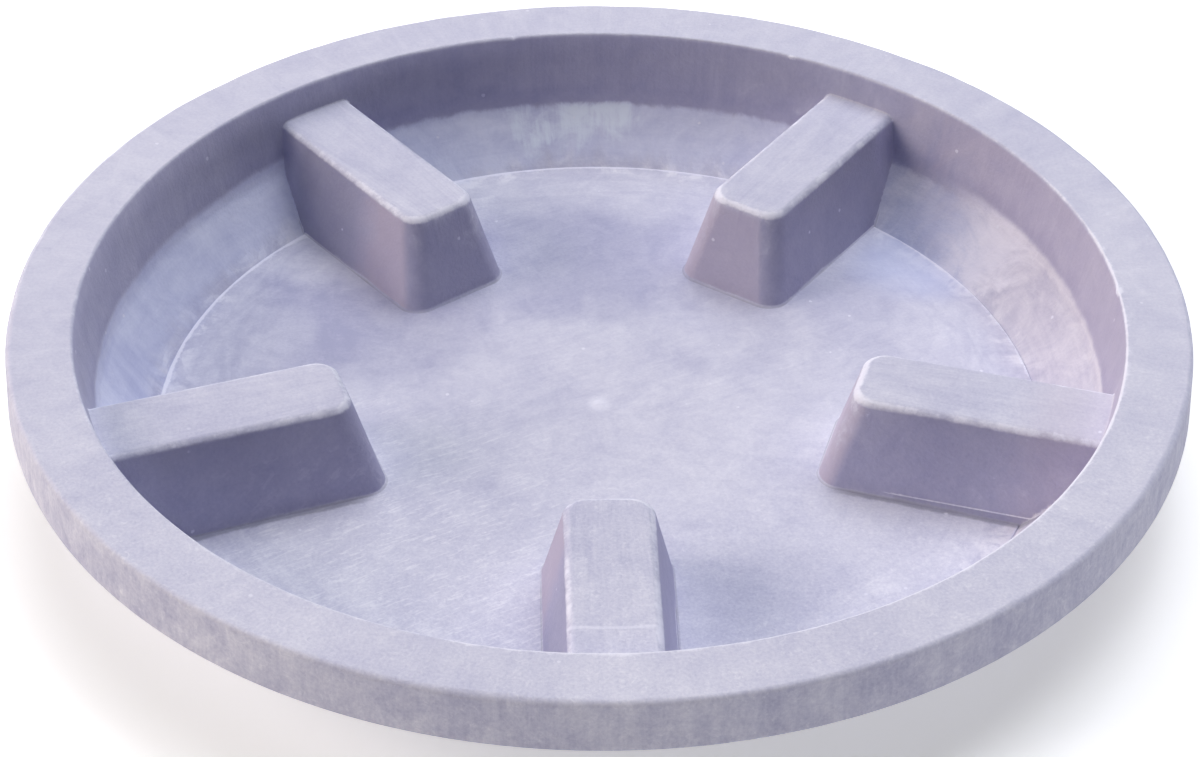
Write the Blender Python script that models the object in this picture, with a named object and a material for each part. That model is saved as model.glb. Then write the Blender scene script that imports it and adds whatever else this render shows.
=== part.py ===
"""Round plant saucer with raised pot rests.

The dish is a turned shell: a gently crowned floor on a foot ring, a sloped cove, a steep wall, and a
broad flat rim that ends in a short skirt and is open underneath. Drafted blocks stand on the floor at
even angles and run out to the wall. They hold a pot clear of the water.

Units are metres and +Z is up. The origin is on the ground at the centre of the foot ring, and the
first rest lies along -Y.
"""

import math

import bmesh
import bpy
from mathutils import Matrix, Vector

# Rim and skirt
RIM_RADIUS = 0.1525
RIM_WIDTH = 0.0168
RIM_THICKNESS = 0.0040
RIM_OUTER_EDGE = 0.0016
RIM_INNER_EDGE = 0.0006
SKIRT_DROP = 0.0142
SKIRT_FLARE = 0.0007
SKIRT_THICKNESS = 0.0034
SKIRT_EDGE = 0.0008
CHANNEL_FILLET = 0.0012

# Wall and cove
WALL_DROP = 0.0212
WALL_DRAFT = math.radians(13.0)
WALL_THICKNESS = 0.0036
COVE_SLOPE = math.radians(45.0)
COVE_FILLET = 0.0110

# Floor and foot ring
FLOOR_DEPTH = 0.0342
FLOOR_THICKNESS = 0.0036
FLOOR_CROWN = 0.0012
FLOOR_STEP = 0.0006
FLOOR_EDGE = 0.0004
FOOT_HEIGHT = 0.0022
FOOT_WIDTH = 0.0090
FOOT_EDGE = 0.0006

# Pot rests
REST_COUNT = 5
REST_FIRST_ANGLE = math.radians(-90.0)
REST_DROP = 0.0083
REST_INNER_RADIUS = 0.0692
REST_WIDTH = 0.0220
REST_DRAFT = math.radians(12.0)
REST_END_DRAFT = math.radians(16.0)
REST_CORNER = 0.0040
REST_EDGE = 0.0018
SEAT_GAP = 0.0003

# Smoothness of the round forms: sides of a turned piece, rings across the crown, steps in an arc
TURN_STEPS = 100
CROWN_RINGS = 4
ARC_STEPS = 5
EDGE_STEPS = 3
SMOOTH_ANGLE = math.radians(30.0)

# Heights above the ground
FLOOR_EDGE_Z = FOOT_HEIGHT + FLOOR_THICKNESS
RIM_Z = FLOOR_EDGE_Z + FLOOR_DEPTH
WALL_CORNER_Z = RIM_Z - WALL_DROP
REST_TOP_Z = RIM_Z - REST_DROP

# Radii that follow from the rim, the wall's draft and the cove's slope
RIM_INNER_RADIUS = RIM_RADIUS - SKIRT_FLARE - RIM_WIDTH
WALL_CORNER_RADIUS = RIM_INNER_RADIUS - WALL_DROP * math.tan(WALL_DRAFT)
FLOOR_RADIUS = WALL_CORNER_RADIUS - (WALL_CORNER_Z - FLOOR_EDGE_Z) / math.tan(COVE_SLOPE)


def clear_scene():
    """Remove the objects of the start-up scene."""
    for item in list(bpy.data.objects):
        bpy.data.objects.remove(item, do_unlink=True)


def plastic(name, colour, roughness):
    """A matt moulded plastic."""
    material = bpy.data.materials.new(name)
    material.use_nodes = True
    shader = material.node_tree.nodes["Principled BSDF"]
    shader.inputs["Base Color"].default_value = (*colour, 1.0)
    shader.inputs["Roughness"].default_value = roughness
    shader.inputs["Metallic"].default_value = 0.0
    return material


def add_object(name, mesh_data, material):
    """Turn a bmesh into a named, smooth-shaded object with one material."""
    bmesh.ops.recalc_face_normals(mesh_data, faces=mesh_data.faces)
    mesh = bpy.data.meshes.new(name)
    mesh_data.to_mesh(mesh)
    mesh_data.free()
    mesh.shade_smooth()
    mesh.set_sharp_from_angle(angle=SMOOTH_ANGLE)
    mesh.materials.append(material)
    item = bpy.data.objects.new(name, mesh)
    bpy.context.scene.collection.objects.link(item)
    return item


def rounded(corners):
    """Points along a line of (radius, height, fillet, steps) corners, each rounded by its fillet."""
    points = []
    for index, (radius, height, fillet, steps) in enumerate(corners):
        here = Vector((radius, height))
        if fillet == 0.0:
            points.append(here)
            continue
        back = (Vector(corners[index - 1][:2]) - here).normalized()
        ahead = (Vector(corners[index + 1][:2]) - here).normalized()
        half_angle = back.angle(ahead) / 2
        centre = here + (back + ahead).normalized() * fillet / math.sin(half_angle)
        spoke = here + back * fillet / math.tan(half_angle) - centre
        turn = math.copysign(math.pi - 2 * half_angle, back.x * ahead.y - back.y * ahead.x)
        for step in range(steps + 1):
            angle = -turn * step / steps
            swung = Matrix.Rotation(angle, 2) @ spoke
            points.append(centre + swung)
    return points


def turned(points):
    """Spin a line that starts and ends on the Z axis into a closed solid."""
    solid = bmesh.new()
    line = [solid.verts.new((point.x, 0.0, point.y)) for point in points]
    edges = [solid.edges.new(pair) for pair in zip(line, line[1:])]
    bmesh.ops.spin(
        solid,
        geom=line + edges,
        cent=(0.0, 0.0, 0.0),
        axis=(0.0, 0.0, 1.0),
        angle=math.tau,
        steps=TURN_STEPS,
        use_merge=True,
    )
    bmesh.ops.remove_doubles(solid, verts=solid.verts, dist=1e-6)
    return solid


def crown_height(radius):
    """Rise of the floor above its edge."""
    return FLOOR_CROWN * (1.0 - (radius / FLOOR_RADIUS) ** 2)


def crown_line(outer_radius, base_z):
    """Points from the axis out to a radius along the crowned floor or its underside."""
    radii = [outer_radius * ring / CROWN_RINGS for ring in range(CROWN_RINGS + 1)]
    return [(radius, base_z + crown_height(radius), 0.0, 0) for radius in radii]


def shifted_wall(distance):
    """The wall's two ends and the cove's foot, moved square to their faces into the cavity.

    A negative distance moves them out through the shell. The result is the foot of the cove on the
    floor's level, the corner between cove and wall, and the top of the wall, as (radius, height).
    """
    cove_shift = distance / math.sin(COVE_SLOPE)
    wall_shift = distance / math.cos(WALL_DRAFT)
    slope = math.tan(COVE_SLOPE)
    lean = math.tan(WALL_DRAFT)
    foot_radius = FLOOR_RADIUS - cove_shift
    top_radius = RIM_INNER_RADIUS - wall_shift
    corner_z = (FLOOR_EDGE_Z + slope * (top_radius - lean * RIM_Z - foot_radius)) / (1.0 - slope * lean)
    corner_radius = top_radius - lean * (RIM_Z - corner_z)
    return (foot_radius, FLOOR_EDGE_Z), (corner_radius, corner_z), (top_radius, RIM_Z)


def dish_outline():
    """Section of the dish, from the centre of the floor over the rim to the centre of the underside."""
    _, inner_corner, inner_top = shifted_wall(0.0)
    outer_foot, outer_corner, outer_top = shifted_wall(-WALL_THICKNESS)

    step_run = FLOOR_STEP / math.tan(COVE_SLOPE)
    floor = crown_line(FLOOR_RADIUS - 2 * step_run, FLOOR_EDGE_Z)
    floor_lip = [
        (FLOOR_RADIUS - step_run, FLOOR_EDGE_Z, FLOOR_EDGE, 2),
        (FLOOR_RADIUS - step_run, FLOOR_EDGE_Z - FLOOR_STEP, 0.0, 0),
    ]
    wall = [
        (*inner_corner, COVE_FILLET, ARC_STEPS),
        (*inner_top, RIM_INNER_EDGE, 2),
    ]

    skirt_top_radius = RIM_RADIUS - SKIRT_FLARE
    skirt_bottom_z = RIM_Z - SKIRT_DROP
    channel_z = RIM_Z - RIM_THICKNESS
    skirt_lean = SKIRT_FLARE / SKIRT_DROP
    skirt_inner_top = skirt_top_radius - SKIRT_THICKNESS + skirt_lean * RIM_THICKNESS
    wall_outer_top = outer_top[0] - RIM_THICKNESS * math.tan(WALL_DRAFT)
    skirt = [
        (skirt_top_radius, RIM_Z, RIM_OUTER_EDGE, 4),
        (RIM_RADIUS, skirt_bottom_z, SKIRT_EDGE, 2),
        (RIM_RADIUS - SKIRT_THICKNESS, skirt_bottom_z, SKIRT_EDGE, 1),
        (skirt_inner_top, channel_z, CHANNEL_FILLET, 1),
        (wall_outer_top, channel_z, CHANNEL_FILLET, 1),
    ]

    foot_radius = outer_foot[0] - FLOOR_EDGE_Z / math.tan(COVE_SLOPE)
    foot_inner_radius = foot_radius - FOOT_WIDTH
    underside_z = FLOOR_EDGE_Z - FLOOR_THICKNESS
    under_wall = [
        (*outer_corner, COVE_FILLET + WALL_THICKNESS, ARC_STEPS),
        (foot_radius, 0.0, FOOT_EDGE, 1),
        (foot_inner_radius, 0.0, FOOT_EDGE, 1),
    ]
    underside = reversed(crown_line(foot_inner_radius, underside_z))
    return rounded([*floor, *floor_lip, *wall, *skirt, *under_wall, *underside])


def build_dish(material):
    """The turned dish, one closed shell."""
    return add_object("saucer_dish", turned(dish_outline()), material)


def build_cavity():
    """The space that a rest may fill: the dish's inside, less the seat gap. It only trims the rests."""
    foot, corner, top = shifted_wall(SEAT_GAP)
    floor_z = FLOOR_EDGE_Z + SEAT_GAP
    slope_run = SEAT_GAP / math.tan(COVE_SLOPE)
    outline = rounded([
        *crown_line(foot[0], floor_z),
        (foot[0] + slope_run, floor_z, 0.0, 0),
        (*corner, COVE_FILLET - SEAT_GAP, ARC_STEPS),
        (*top, 0.0, 0),
        (0.0, RIM_Z, 0.0, 0),
    ])
    cavity = add_object("cavity_space", turned(outline), plastic("cavity_space", (0.8, 0.3, 0.2), 0.5))
    cavity.hide_render = True
    cavity.display_type = "WIRE"
    return cavity


def rest_block():
    """A drafted block along +X with rounded inner corners and a rounded top, longer than the rest.

    The inner end slopes more than the sides.
    """
    spread = REST_TOP_Z * math.tan(REST_DRAFT)
    end_spread = REST_TOP_Z * math.tan(REST_END_DRAFT)
    half_width = REST_WIDTH / 2
    block = bmesh.new()
    bmesh.ops.create_cube(block, size=2.0)
    for vert in block.verts:
        low = vert.co.z < 0.0
        end = REST_INNER_RADIUS - (end_spread if low else 0.0)
        side = half_width + (spread if low else 0.0)
        x = end if vert.co.x < 0.0 else RIM_RADIUS
        y = math.copysign(side, vert.co.y)
        vert.co = Vector((x, y, 0.0 if low else REST_TOP_Z))
    inner_corners = [
        edge for edge in block.edges
        if max(vert.co.x for vert in edge.verts) < RIM_RADIUS
        and abs(edge.verts[0].co.z - edge.verts[1].co.z) > REST_EDGE
    ]
    bmesh.ops.bevel(
        block,
        geom=inner_corners,
        offset=REST_CORNER,
        offset_type="OFFSET",
        segments=ARC_STEPS - 1,
        profile=0.5,
        affect="EDGES",
    )
    top = max(block.faces, key=lambda face: face.calc_center_median().z)
    bmesh.ops.bevel(
        block,
        geom=list(top.edges),
        offset=REST_EDGE,
        offset_type="OFFSET",
        segments=EDGE_STEPS,
        profile=0.5,
        affect="EDGES",
    )
    return block


def build_rests(cavity, material):
    """The pot rests, each a block trimmed to the floor, the cove and the wall."""
    for number in range(REST_COUNT):
        rest = add_object(f"pot_rest_{number + 1}", rest_block(), material)
        rest.rotation_euler.z = REST_FIRST_ANGLE + math.tau * number / REST_COUNT
        trim = rest.modifiers.new("trim_to_dish", "BOOLEAN")
        trim.operation = "INTERSECT"
        trim.solver = "EXACT"
        trim.object = cavity


def build_saucer():
    """Build every piece of the saucer."""
    clear_scene()
    dish_plastic = plastic("dish_plastic", (0.55, 0.54, 0.69), 0.62)
    rest_plastic = plastic("rest_plastic", (0.57, 0.56, 0.71), 0.62)
    build_dish(dish_plastic)
    build_rests(build_cavity(), rest_plastic)


build_saucer()
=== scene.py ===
"""Looks of the round plant saucer: matt, stone-like moulded plastic, scuffed and worn pale on its edges, with
painted light and shade on its faces, corners and edges.
"""

import math
import random
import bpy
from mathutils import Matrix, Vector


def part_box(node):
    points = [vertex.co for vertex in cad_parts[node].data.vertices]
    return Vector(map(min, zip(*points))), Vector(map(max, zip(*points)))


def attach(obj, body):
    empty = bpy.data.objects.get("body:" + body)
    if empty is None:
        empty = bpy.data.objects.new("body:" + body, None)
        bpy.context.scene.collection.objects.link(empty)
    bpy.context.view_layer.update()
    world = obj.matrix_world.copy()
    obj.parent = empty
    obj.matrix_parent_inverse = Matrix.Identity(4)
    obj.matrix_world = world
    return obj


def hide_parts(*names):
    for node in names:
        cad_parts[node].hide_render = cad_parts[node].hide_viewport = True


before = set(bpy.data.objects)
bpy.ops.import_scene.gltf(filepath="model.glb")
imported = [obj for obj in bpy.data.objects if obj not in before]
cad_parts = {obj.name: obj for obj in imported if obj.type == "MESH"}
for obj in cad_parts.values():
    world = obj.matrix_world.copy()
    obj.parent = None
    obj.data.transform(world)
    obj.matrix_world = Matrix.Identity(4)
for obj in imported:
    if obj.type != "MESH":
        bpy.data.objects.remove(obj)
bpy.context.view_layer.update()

from types import SimpleNamespace

import bpy
import numpy as np
from mathutils import Matrix, Vector

# Sizes of the saucer in metres, as on the solids; the outer ones come from the frame
_, DISH_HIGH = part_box("saucer_dish")
RIM_Z = DISH_HIGH[2]
RIM_RADIUS = DISH_HIGH[0]
RIM_WIDTH = 0.0168
RIM_THICKNESS = 0.0040
RIM_OUTER_EDGE = 0.0016
SKIRT_DROP = 0.0142
SKIRT_FLARE = 0.0007
SKIRT_THICKNESS = 0.0034
SKIRT_EDGE = 0.0008
CHANNEL_FILLET = 0.0012
WALL_DROP = 0.0212
WALL_DRAFT = math.radians(13.0)
WALL_THICKNESS = 0.0036
COVE_SLOPE = math.radians(45.0)
FLOOR_DEPTH = 0.0342
FLOOR_THICKNESS = 0.0036
FLOOR_CROWN = 0.0012
FLOOR_STEP = 0.0006
FOOT_WIDTH = 0.0090
FOOT_EDGE = 0.0006
REST_COUNT = 5
REST_FIRST_ANGLE = math.radians(-90.0)
REST_DROP = 0.0083
REST_INNER_RADIUS = 0.0692
REST_WIDTH = 0.0220
REST_DRAFT = math.radians(12.0)
REST_END_DRAFT = math.radians(16.0)
REST_EDGE = 0.0018

# Radii of the looks alone: four differ from the solids' radii, and the solids have no REST_FILLET
RIM_INNER_EDGE = 0.0008
COVE_FILLET = 0.0065
FLOOR_EDGE = 0.0003
REST_CORNER = 0.0058
REST_FILLET = 0.0004

# Small forms of the looks alone: the plinth of two rests, the floor's groove, the gate's scar, the rim's nubs
PLINTH_RISE = 0.0022
PLINTH_LEDGE = 0.0002
PLINTH_START = 0.0780
PLINTH_RUN_IN = 0.008
PLINTH_FADE = 0.003
PLINTH_EDGE = 0.00015
# The side of each rest that has a plinth, as the sign of y while the rest lies along +X, or 0 for none
PLINTH_SIDES = (1.0, -1.0, 0.0, 0.0, 0.0)
GROOVE_FILLET = 0.00012
GATE_RADIUS = 0.0022
GATE_HEIGHT = 0.00028
NUB_ANGLES = (99.0, 64.0, 1.0)
NUB_SPREAD = 0.009
NUB_SIZE = 0.0005

# How far wear reaches beside an edge, and how the edges of the rim and the floor vary round the circle:
# between two shares of their radius, along a random wave
WEAR_REACH = 0.0014
EDGE_TIGHT = 0.75
EDGE_LOOSE = 1.35
EDGE_SEED = 11
EDGE_LOBES = (5, 9, 14, 23, 31, 44, 62, 85)

FLOOR_EDGE_Z = RIM_Z - FLOOR_DEPTH
WALL_CORNER_Z = RIM_Z - WALL_DROP
REST_TOP_Z = RIM_Z - REST_DROP
REST_HEIGHT = REST_TOP_Z - FLOOR_EDGE_Z
PLINTH_Z = FLOOR_EDGE_Z + PLINTH_RISE
RIM_INNER_RADIUS = RIM_RADIUS - SKIRT_FLARE - RIM_WIDTH
WALL_CORNER_RADIUS = RIM_INNER_RADIUS - WALL_DROP * math.tan(WALL_DRAFT)
FLOOR_RADIUS = WALL_CORNER_RADIUS - (WALL_CORNER_Z - FLOOR_EDGE_Z) / math.tan(COVE_SLOPE)

# Fineness of the meshes
TURN_STEPS = 640
CROWN_RINGS = 18
GATE_RINGS = 8
HALVINGS = 28
NORMAL_NUDGE = 2e-5
# How far the border of a rest's mesh dips below the dish's surface, and how deep its underside lies
BORDER_SINK = 0.00006
BASE_SINK = 0.0006


# Camera, from the photograph's own perspective

PHOTO_WIDTH = 1200
FOCAL_PX = 3195.748
CAMERA_ELEVATION = math.radians(35.548)
CAMERA_DISTANCE = 5.43559
CAMERA_ROLL = math.radians(-0.389)
CAMERA_YAW = 0.000276
CAMERA_PITCH = -0.0238169
CAMERA_TURN = math.radians(-2.00)
FIT_RADIUS = RIM_RADIUS - SKIRT_FLARE
SENSOR_MM = 36.0


def place_camera():
    """A camera at the photograph's viewing angle, aimed a little off the rim's centre as the photo is."""
    back = Vector((0.0, -math.cos(CAMERA_ELEVATION), math.sin(CAMERA_ELEVATION)))
    right = Vector((1.0, 0.0, 0.0))
    aim = Matrix((right, back.cross(right), back)).transposed()
    tilt = Matrix.Rotation(-CAMERA_YAW, 3, "Y") @ Matrix.Rotation(CAMERA_PITCH, 3, "X")
    tilt = tilt @ Matrix.Rotation(-CAMERA_ROLL, 3, "Z")
    turn = Matrix.Rotation(CAMERA_TURN, 3, "Z")
    data = bpy.data.cameras.new("camera")
    data.sensor_width = SENSOR_MM
    data.lens = SENSOR_MM * FOCAL_PX / PHOTO_WIDTH
    data.clip_start = 0.01
    data.clip_end = 20.0
    camera = bpy.data.objects.new("camera", data)
    bpy.context.scene.collection.objects.link(camera)
    place = turn @ (back * CAMERA_DISTANCE * FIT_RADIUS) + Vector((0.0, 0.0, RIM_Z))
    camera.matrix_world = Matrix.Translation(place) @ (turn @ aim @ tilt).to_4x4()
    bpy.context.scene.camera = camera


# The dish's section

def rounded(corners):
    """Points, outward normals and edge wear along a line of (radius, height, fillet, steps, wear) corners.

    Beside a worn corner lie two more points, where the wear ends.
    """
    places = [Vector(corner[:2]) for corner in corners]
    ways = [(b - a).normalized() for a, b in zip(places, places[1:])]
    outward = [Vector((-way.y, way.x)) for way in ways]
    outward = [outward[0], *outward, outward[-1]]
    line = []
    for index, (_, _, fillet, steps, wear) in enumerate(corners):
        here = places[index]
        if fillet == 0.0:
            line.append((here, (outward[index] + outward[index + 1]).normalized(), wear))
            continue
        before, after = ways[index - 1], ways[index]
        turn = outward[index].angle_signed(outward[index + 1])
        reach = fillet * math.tan(abs(turn) / 2)
        start = here - before * reach
        side = outward[index] if turn < 0 else -outward[index]
        centre = start + side * fillet
        arc = []
        for step in range(steps + 1):
            swing = Matrix.Rotation(-turn * step / steps, 2)
            peak = 0.5 + 0.5 * math.sin(math.pi * step / steps)
            arc.append((centre - swing @ side * fillet, swing @ outward[index], wear * peak))
        if wear > 0.0:
            fade_in = min(WEAR_REACH, 0.45 * (here - places[index - 1]).length)
            fade_out = min(WEAR_REACH, 0.45 * (places[index + 1] - here).length)
            arc.insert(0, (here - before * (reach + fade_in), outward[index], 0.0))
            arc.append((here + after * (reach + fade_out), outward[index + 1], 0.0))
        line.extend(arc)
    return line


def crown_height(radius):
    """Rise of the floor above its edge."""
    return FLOOR_CROWN * (1.0 - (radius / FLOOR_RADIUS) ** 2)


def crown_line(outer_radius, base_z):
    """Corners from the axis out to a radius along the crowned floor or its underside."""
    radii = [outer_radius * ring / CROWN_RINGS for ring in range(CROWN_RINGS + 1)]
    return [(radius, base_z + crown_height(radius), 0.0, 0, 0.0) for radius in radii]


def gate_mark():
    """Corners of the small raised scar that the gate leaves at the centre of the floor."""
    corners = []
    for step in range(GATE_RINGS):
        share = step / (GATE_RINGS - 1)
        radius = GATE_RADIUS * share
        rise = GATE_HEIGHT * (1.0 - share * share) ** 2
        corners.append((radius, FLOOR_EDGE_Z + crown_height(radius) + rise, 0.0, 0, 0.0))
    return corners


def shifted_wall(distance):
    """Foot of the cove, corner between cove and wall, and top of the wall, moved into the cavity."""
    slope = math.tan(COVE_SLOPE)
    lean = math.tan(WALL_DRAFT)
    foot_radius = FLOOR_RADIUS - distance / math.sin(COVE_SLOPE)
    top_radius = RIM_INNER_RADIUS - distance / math.cos(WALL_DRAFT)
    corner_z = (FLOOR_EDGE_Z + slope * (top_radius - lean * RIM_Z - foot_radius)) / (1.0 - slope * lean)
    corner_radius = top_radius - lean * (RIM_Z - corner_z)
    return (foot_radius, FLOOR_EDGE_Z), (corner_radius, corner_z), (top_radius, RIM_Z)


def inner_corners(edge=1.0):
    """The dish's inside, from the centre of the floor to the rim's inner edge."""
    _, corner, top = shifted_wall(0.0)
    run = FLOOR_STEP / math.tan(COVE_SLOPE)
    return [
        *gate_mark(),
        *crown_line(FLOOR_RADIUS - 7.0 * run, FLOOR_EDGE_Z)[1:],
        (FLOOR_RADIUS - run, FLOOR_EDGE_Z, FLOOR_EDGE * edge, 5, 5.0),
        (FLOOR_RADIUS - run, FLOOR_EDGE_Z - FLOOR_STEP, GROOVE_FILLET, 2, 0.0),
        (*corner, COVE_FILLET, 16, 0.0),
        (*top, RIM_INNER_EDGE * edge, 5, 2.0),
    ]


def outer_corners(edge=1.0):
    """The rim's outer edge, the skirt, the channel under the rim, the outside and the foot ring."""
    foot, corner, top = shifted_wall(-WALL_THICKNESS)
    skirt_top = RIM_RADIUS - SKIRT_FLARE
    skirt_z = RIM_Z - SKIRT_DROP
    channel_z = RIM_Z - RIM_THICKNESS
    lean = SKIRT_FLARE / SKIRT_DROP
    foot_radius = foot[0] - FLOOR_EDGE_Z / math.tan(COVE_SLOPE)
    return [
        (skirt_top, RIM_Z, RIM_OUTER_EDGE * edge, 10, 0.3),
        (RIM_RADIUS, skirt_z, SKIRT_EDGE, 6, 0.7),
        (RIM_RADIUS - SKIRT_THICKNESS, skirt_z, SKIRT_EDGE, 5, 0.6),
        (skirt_top - SKIRT_THICKNESS + lean * RIM_THICKNESS, channel_z, CHANNEL_FILLET, 5, 0.0),
        (top[0] - RIM_THICKNESS * math.tan(WALL_DRAFT), channel_z, CHANNEL_FILLET, 5, 0.0),
        (*corner, COVE_FILLET + WALL_THICKNESS, 16, 0.0),
        (foot_radius, 0.0, FOOT_EDGE, 5, 0.8),
        (foot_radius - FOOT_WIDTH, 0.0, FOOT_EDGE, 5, 0.6),
        *reversed(crown_line(foot_radius - FOOT_WIDTH, FLOOR_EDGE_Z - FLOOR_THICKNESS)),
    ]


# Mesh helpers

def make_piece(name, points, faces, normals, marks, replaced):
    """A smooth mesh that rides on the one body, with its own normals and named values per point."""
    mesh = bpy.data.meshes.new(name)
    mesh.from_pydata(points.tolist(), [], faces)
    mesh.shade_smooth()
    mesh.normals_split_custom_set_from_vertices(normals.tolist())
    for mark, values in marks.items():
        layer = mesh.attributes.new(mark, "FLOAT", "POINT")
        layer.data.foreach_set("value", np.asarray(values, dtype=np.float32))
    piece = bpy.data.objects.new(name, mesh)
    bpy.context.scene.collection.objects.link(piece)
    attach(piece, "root")
    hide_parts(replaced)
    return piece


def wander(angles, seed, lobes):
    """A smooth random wave round the circle, from 0 to 1."""
    draw = random.Random(seed)
    wave = np.zeros(len(angles))
    for lobe in lobes:
        wave += np.cos(lobe * angles + draw.uniform(0.0, math.tau)) / math.sqrt(lobe)
    return (wave - wave.min()) / (wave.max() - wave.min())


def build_dish():
    """The turned dish, its edges rounded a little more here and less there."""
    tight = rounded([*inner_corners(EDGE_TIGHT), *outer_corners(EDGE_TIGHT)])
    loose = rounded([*inner_corners(EDGE_LOOSE), *outer_corners(EDGE_LOOSE)])
    angles = np.arange(TURN_STEPS) * math.tau / TURN_STEPS
    round_x, round_y = np.cos(angles), np.sin(angles)
    share = wander(angles, EDGE_SEED, EDGE_LOBES)
    nubs = np.zeros(TURN_STEPS)
    for nub in NUB_ANGLES:
        nubs += np.exp(-((angles - math.radians(nub)) / NUB_SPREAD) ** 2)
    # The rim's inner edge and the floor's are worn pale, partly a painted highlight, more on one side than on
    # the other
    rim_wear_and_highlight = 0.55 + 0.40 * np.cos(angles + math.radians(70.0))
    floor_wear_and_highlight = 0.60 + 0.40 * np.sin(angles - math.radians(40.0))
    points = [np.array([[0.0, 0.0, tight[0][0].y]])]
    normals = [np.array([[0.0, 0.0, 1.0]])]
    wear = [np.zeros(1)]
    for (low, out, worn), (high, _, _) in zip(tight[1:-1], loose[1:-1]):
        radius = low.x + (high.x - low.x) * share
        height = low.y + (high.y - low.y) * share
        rubbed_and_highlight = np.full(TURN_STEPS, worn)
        if worn > 0.0 and low.x < FLOOR_RADIUS + 0.001 and out.y > 0.5:
            rubbed_and_highlight *= floor_wear_and_highlight
        if worn > 0.0 and low.y > RIM_Z - 0.003 and low.x < RIM_INNER_RADIUS + 0.003:
            rubbed_and_highlight = rubbed_and_highlight * rim_wear_and_highlight + nubs
            radius = radius - NUB_SIZE * nubs
        points.append(np.stack([radius * round_x, radius * round_y, height], axis=1))
        normals.append(np.stack([out.x * round_x, out.x * round_y, np.full(TURN_STEPS, out.y)], axis=1))
        wear.append(rubbed_and_highlight)
    points.append(np.array([[0.0, 0.0, tight[-1][0].y]]))
    normals.append(np.array([[0.0, 0.0, -1.0]]))
    wear.append(np.zeros(1))

    rings = len(tight) - 2
    last = 1 + rings * TURN_STEPS
    faces = []
    for step in range(TURN_STEPS):
        after = (step + 1) % TURN_STEPS
        faces.append((0, 1 + step, 1 + after))
        for ring in range(rings - 1):
            low, high = 1 + ring * TURN_STEPS, 1 + (ring + 1) * TURN_STEPS
            faces.append((low + step, high + step, high + after, low + after))
        low = last - TURN_STEPS
        faces.append((low + step, last, low + after))
    marks = {"edge_wear_and_highlight": np.concatenate(wear), "crevice": np.zeros(last + 1)}
    return make_piece(
        "dish_shell", np.concatenate(points), faces, np.concatenate(normals), marks,
        "saucer_dish",
    )


# The rests: one surface where a drafted block runs into the dish through a small fillet

INNER_LINE = rounded([*inner_corners(), (RIM_RADIUS, RIM_Z, 0.0, 0, 0.0)])
LINE_POINTS = np.array([place[:] for place, _, _ in INNER_LINE])


def dish_distance(radius, height):
    """Distance from the dish's inside into its cavity, negative in the shell.

    Where two parts of the line are equally near, the sign is from the one that the point lies squarely off.
    """
    start, end = LINE_POINTS[:-1], LINE_POINTS[1:]
    way = end - start
    length = np.linalg.norm(way, axis=1)
    unit = way / length[:, None]
    offset_r = radius[:, None] - start[None, :, 0]
    offset_z = height[:, None] - start[None, :, 1]
    along = np.clip(offset_r * unit[:, 0] + offset_z * unit[:, 1], 0.0, length)
    gap_r = offset_r - along * unit[:, 0]
    gap_z = offset_z - along * unit[:, 1]
    gap = np.hypot(gap_r, gap_z)
    side = offset_z * unit[:, 0] - offset_r * unit[:, 1]
    nearest = (gap - 1e-6 * np.abs(side)).argmin(axis=1)
    rows = np.arange(len(radius))
    return np.copysign(gap[rows, nearest], side[rows, nearest])


def join_round(first, second, radius):
    """Union of two solids, seen from the free space, with a fillet between them."""
    near = np.hypot(np.maximum(radius - first, 0.0), np.maximum(radius - second, 0.0))
    return np.maximum(radius, np.minimum(first, second)) - near


def meet_round(first, second, radius):
    """Intersection of two solids with a rounded edge."""
    near = np.hypot(np.maximum(radius + first, 0.0), np.maximum(radius + second, 0.0))
    return np.minimum(-radius, np.maximum(first, second)) + near


def rest_sides(x, y, z, stepped):
    """Distances outside the block's sides, inner end and top, the block lying along +X.

    The side whose sign stepped has stands back above a low plinth.
    """
    below = REST_TOP_Z - z
    above_plinth = np.clip((z - PLINTH_Z) / PLINTH_EDGE + 0.5, 0.0, 1.0)
    run_in = np.clip((x - PLINTH_START) / PLINTH_RUN_IN, 0.0, 1.0)
    ledge = above_plinth * run_in * PLINTH_LEDGE / REST_HEIGHT
    ledge *= np.clip(y * stepped / PLINTH_FADE, 0.0, 1.0)
    side = (np.abs(y) - REST_WIDTH / 2 - below * (math.tan(REST_DRAFT) - ledge)) * math.cos(REST_DRAFT)
    end = REST_INNER_RADIUS - below * (math.tan(REST_END_DRAFT) - ledge) - x
    return side, end * math.cos(REST_END_DRAFT), -below


def rest_distance(x, y, z, stepped):
    """Distance outside the rounded block."""
    side, end, top = rest_sides(x, y, z, stepped)
    return meet_round(meet_round(side, end, REST_CORNER), top, REST_EDGE)


def free_distance(x, y, z, stepped, sink=0.0):
    """Distance into the free space over dish and rest; sink lowers the dish away from the fillet."""
    block = rest_distance(x, y, z, stepped)
    fade = np.clip((block - 0.9 * REST_FILLET) / 0.001, 0.0, 1.0)
    dish = dish_distance(np.hypot(x, y), z) + sink * fade * fade * (3.0 - 2.0 * fade)
    return join_round(dish, block, REST_FILLET)


def drop_onto(x, y, distance):
    """Height of the surface where a distance function turns from solid to free, over each (x, y)."""
    low = np.full(len(x), FLOOR_EDGE_Z - 0.004)
    high = np.full(len(x), RIM_Z - 0.0002)
    for _ in range(HALVINGS):
        middle = (low + high) / 2
        solid = distance(x, y, middle) < 0.0
        low = np.where(solid, middle, low)
        high = np.where(solid, high, middle)
    return (low + high) / 2


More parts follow.
